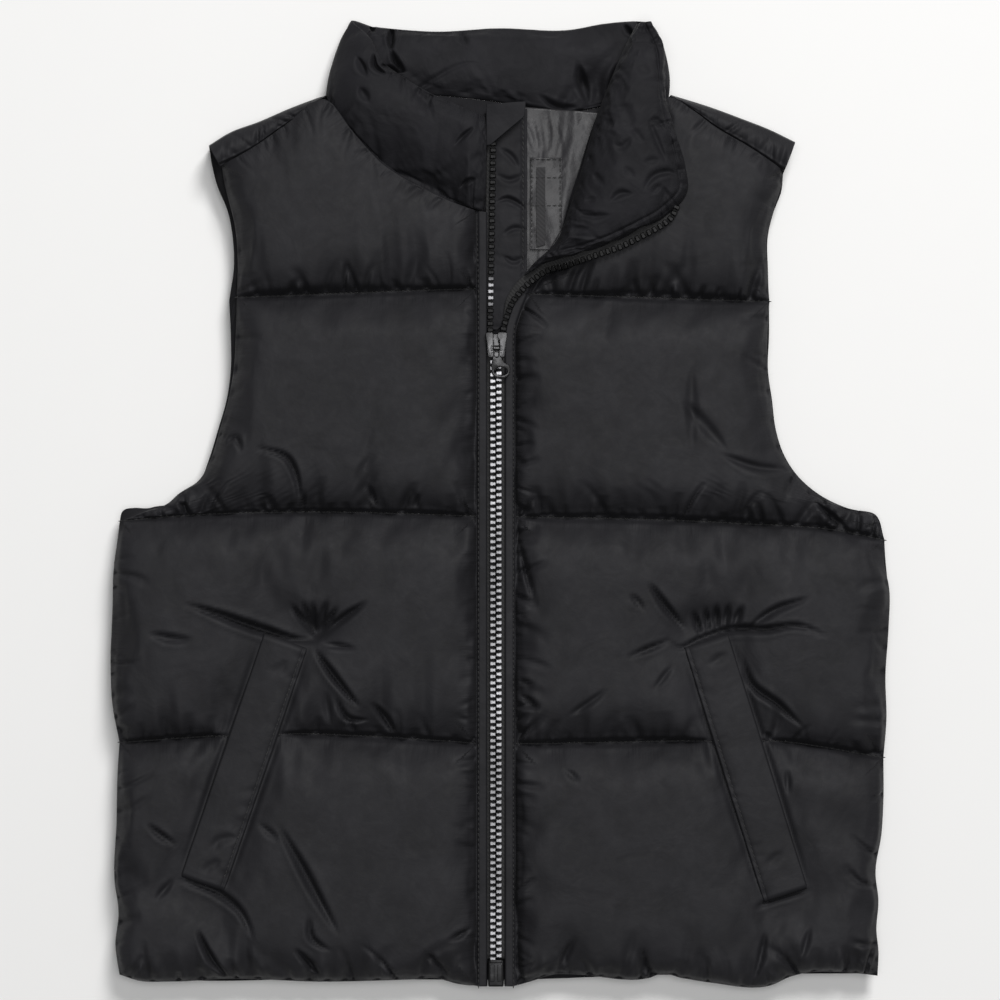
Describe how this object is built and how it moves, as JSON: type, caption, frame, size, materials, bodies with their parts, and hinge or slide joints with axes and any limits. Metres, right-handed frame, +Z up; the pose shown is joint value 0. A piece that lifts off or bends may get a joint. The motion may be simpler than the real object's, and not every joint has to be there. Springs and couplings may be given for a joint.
{
  "type": "puffer vest",
  "caption": "Child's quilted puffer vest with stand collar, zip front and slanted pocket welts, lying flat on its back with one front turned open at the neck.",
  "frame": {"origin": "on the floor below the middle of the vest as it lies", "axes": "+X towards the wearer's left, +Y from the hem to the collar, +Z up from the floor"},
  "size_m": [0.4196, 0.5229, 0.044],
  "materials": {
    "shell": "smooth black nylon with a soft sheen",
    "lining": "smooth dark grey lining with a light sheen",
    "zip_tape": "matt woven tape",
    "zip_teeth": "gunmetal moulded teeth",
    "zip_metal": "gunmetal plated"
  },
  "bodies": {
    "vest": {"back_panel": "shell", "front_right": "shell", "front_left": "shell", "collar": "shell", "lapel_left": "shell", "pocket_welt_right": "shell", "pocket_welt_left": "shell", "neck_lining": "lining", "lining_patch": "lining", "wind_flap": "shell", "zip_garage": "shell", "zip_tape_right": "zip_tape", "zip_tape_left": "zip_tape", "zip_teeth_right": "zip_teeth", "zip_teeth_left": "zip_teeth", "zip_box": "zip_teeth", "zip_slider": "zip_metal"},
    "tab": {"pull_tab": "zip_metal"}
  },
  "joints": [
    {"name": "pull_tab_swing", "type": "hinge", "parent": "vest", "child": "tab", "pos_m": [-0.0019, 0.0821, 0.027], "axis": [-1, 0, 0], "range_deg": [0, 150]}
  ]
}
